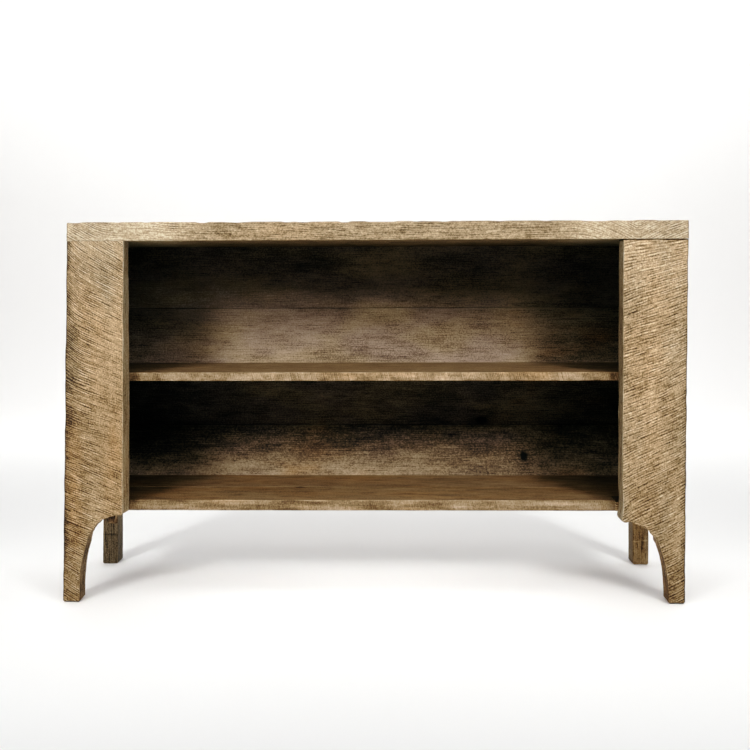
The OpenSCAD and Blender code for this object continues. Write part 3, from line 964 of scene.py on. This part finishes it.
def build_back():
    """Four level boards in half laps: the upper edge of each stands behind the next one."""
    lap_y = (board_low.y + board_high.y) / 2
    for i in range(1, 5):
        node = f"back_board_{i}"
        low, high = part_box(node)
        lowest, highest = i == 1, i == 4
        notches = []
        if not lowest:
            notches.append(box_notch((-FAR, lap_y, 0), (FAR, FAR, low.z + LAP)))
        if not highest:
            notches.append(box_notch((-FAR, -FAR, high.z - LAP), (FAR, lap_y, FAR)))
        plank = Plank(node, (5 * MM, 4 * MM, 4 * MM), 3 * MM, notches)
        if not highest:
            before_lap = plank.points[:, 1] < lap_y - 0.5 * MM
            plank.depth[HIGH_Z] = plank.depth[HIGH_Z] - np.where(before_lap, LAP, 0)
        top_edge = 0 if highest else 1
        build(node, "dark_back_wood", back_wood, plank, 600 + 7 * i, back_tint,
              relief=(0, 0, 0.35, 0.35, 0.2, 0.2 * top_edge),
              wave=(0, 0, 0.8, 0.3, 0.5, 0.5 * top_edge),
              edge=1.2, edge_scale=(1, 1, 1, 1, 1, top_edge))


def build_cleats():
    """A cleat under each end of each shelf and along each side of the top."""
    places = itertools.product(("top", "middle", "bottom"), ("left", "right"))
    for i, (level, side) in enumerate(places):
        node = f"{level}_cleat_{side}"
        plank = Plank(node, (2.5 * MM, 4 * MM, 2.5 * MM), 3 * MM)
        build(node, "weathered_side_wood", side_wood, plank, 700 + 11 * i, cleat_tint, grain=ALONG_Y,
              wave=(0.3,) * 6, edge=1.2)


def dress_carried_nodes():
    """Gives the dowels, splines and screws, which keep their CAD meshes, their materials."""
    hardwood, steel = dowel_material(), steel_material()
    for node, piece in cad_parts.items():
        if "screws" in node:
            material = steel
        elif "dowels" in node or "spline" in node:
            material = hardwood
        else:
            continue
        piece.data.materials.clear()
        piece.data.materials.append(material)


build_top()
build_leg_boards()
build_posts()
build_sides()
build_shelves()
build_back()
build_cleats()
dress_carried_nodes()


# ---------------------------------------------------------------- studio


def paper_material():
    """Matt white paper that glows a little, as it does when overexposed."""
    s = Shader("pale_paper")
    place = s.node("TexCoord", {}, "Object")
    cloud = s.noise(place, (0.8, 0.8, 0.8), 2.0, 0.5)
    tooth = s.noise(place, (400.0, 400.0, 400.0), 2.0, 0.5)
    stops = [(0.0, srgb(244, 243, 241)), (1.0, srgb(250, 249, 248))]
    colour = s.ramp(s.total(0.5, (cloud, 0.2)), stops)
    s.surface.inputs["Specular IOR Level"].default_value = 0.1
    s.surface.inputs["Emission Color"].default_value = (1.0, 1.0, 1.0, 1.0)
    s.surface.inputs["Emission Strength"].default_value = 0.01
    return s.finish(colour, s.total(0.9, (tooth, 0.1)), tooth, 0.05, 0.2 * MM)


def stage():
    """A pale floor that curves up into a backdrop behind the cabinet."""
    half_width, near_y, bend_y, bend_radius, top_z = 9.0, -7.0, 3.6, 1.4, 4.5
    profile = [(near_y, 0.0)]
    for i in range(17):
        a = math.radians(90 * i / 16)
        profile.append((bend_y + bend_radius * math.sin(a), bend_radius * (1 - math.cos(a))))
    profile.append((bend_y + bend_radius, top_z))
    points = [(x, y, z) for y, z in profile for x in (-half_width, half_width)]
    faces = [(2 * i, 2 * i + 1, 2 * i + 3, 2 * i + 2) for i in range(len(profile) - 1)]
    mesh = bpy.data.meshes.new("floor_and_backdrop")
    mesh.from_pydata(points, [], faces)
    mesh.polygons.foreach_set("use_smooth", [True] * len(faces))
    mesh.materials.append(paper_material())
    floor = bpy.data.objects.new("floor_and_backdrop", mesh)
    bpy.context.scene.collection.objects.link(floor)


def softbox(name, place, aim, size, power, spread):
    """A rectangular lamp, out of the camera's sight, aimed at a point; spread is in degrees."""
    data = bpy.data.lights.new(name, "AREA")
    data.shape = "RECTANGLE"
    data.size, data.size_y = size
    data.energy = power
    data.spread = math.radians(spread)
    lamp = bpy.data.objects.new(name, data)
    lamp.location = place
    lamp.rotation_euler = (Vector(aim) - Vector(place)).to_track_quat("-Z", "Y").to_euler()
    lamp.visible_camera = False
    bpy.context.scene.collection.objects.link(lamp)


def lights():
    """Two narrow keys, a fill, two lamps overhead and one for the backdrop."""
    softbox("key_left", (-1.60, -2.73, 1.98), (-0.28, 0.0, 0.50), (0.7, 0.9), 4.8, spread=34)
    softbox("key_right", (1.65, -2.73, 2.05), (0.28, 0.0, 0.50), (0.7, 0.9), 5.2, spread=34)
    softbox("front_fill", (0.0, -2.6, 2.6), (0.0, 0.0, 0.4), (2.4, 0.7), 6.8, spread=70)
    softbox("overhead_front", (0.0, -1.5, 3.3), (0.0, 0.2, 0.0), (3.2, 0.9), 10, spread=110)
    softbox("overhead_edge", (0.0, -0.55, 3.2), (0.0, -0.55, 0.0), (3.2, 0.9), 4.4, spread=60)
    softbox("backdrop_light", (0.0, 2.4, 3.6), (0.0, 5.0, 1.0), (9.0, 1.0), 192, spread=180)


def studio_air():
    """Cool surrounding light, strongest from behind the cabinet."""
    world = bpy.data.worlds.new("studio_air")
    world.use_nodes = True
    tree = world.node_tree
    direction = tree.nodes.new("ShaderNodeTexCoord").outputs["Generated"]
    split = tree.nodes.new("ShaderNodeSeparateXYZ")
    tree.links.new(direction, split.inputs[0])
    behind = tree.nodes.new("ShaderNodeMapRange")
    from_low, from_high, to_low, to_high = -0.1, 0.6, 0.08, 1.6
    for place, value in enumerate((from_low, from_high, to_low, to_high), 1):
        behind.inputs[place].default_value = value
    tree.links.new(split.outputs["Y"], behind.inputs[0])
    background = tree.nodes["Background"]
    tree.links.new(behind.outputs[0], background.inputs["Strength"])
    background.inputs["Color"].default_value = (0.94, 0.975, 1.0, 1.0)
    bpy.context.scene.world = world


def print_tone():
    """Darkens the picture's shadows, and takes some red out of the darkest."""
    look = bpy.context.scene.view_settings
    look.view_transform = "Standard"
    look.use_curve_mapping = True
    red, green, blue, combined = look.curve_mapping.curves
    shadows = ((0.012, 0.002), (0.03, 0.011), (0.06, 0.036), (0.11, 0.095), (0.18, 0.18), (0.50, 0.50))
    for channel, points in (
        (combined, shadows),
        (red, ((0.011, 0.009), (0.038, 0.034), (0.09, 0.09))),
        (green, ((0.004, 0.005), (0.0086, 0.0102), (0.02, 0.0218), (0.09, 0.09))),
        (blue, ((0.003, 0.005), (0.0075, 0.011), (0.02, 0.0235), (0.09, 0.09))),
    ):
        for bright, shown in points:
            channel.points.new(bright, shown)
    look.curve_mapping.update()


def camera():
    """Level and nearly square to the front, a little right of the middle and below the top."""
    data = bpy.data.cameras.new("camera")
    data.sensor_width = 36.0
    data.lens = 54.4
    data.shift_x = 0.0162
    data.shift_y = -0.1143
    eye = bpy.data.objects.new("camera", data)
    eye.location = (0.037, -2.9995, 0.7683)
    eye.rotation_mode = "XYZ"
    roll, turn = 0.169, 1.300
    eye.rotation_euler = (math.radians(90), math.radians(roll), math.radians(turn))
    bpy.context.scene.collection.objects.link(eye)
    bpy.context.scene.camera = eye


stage()
lights()
studio_air()
print_tone()
camera()
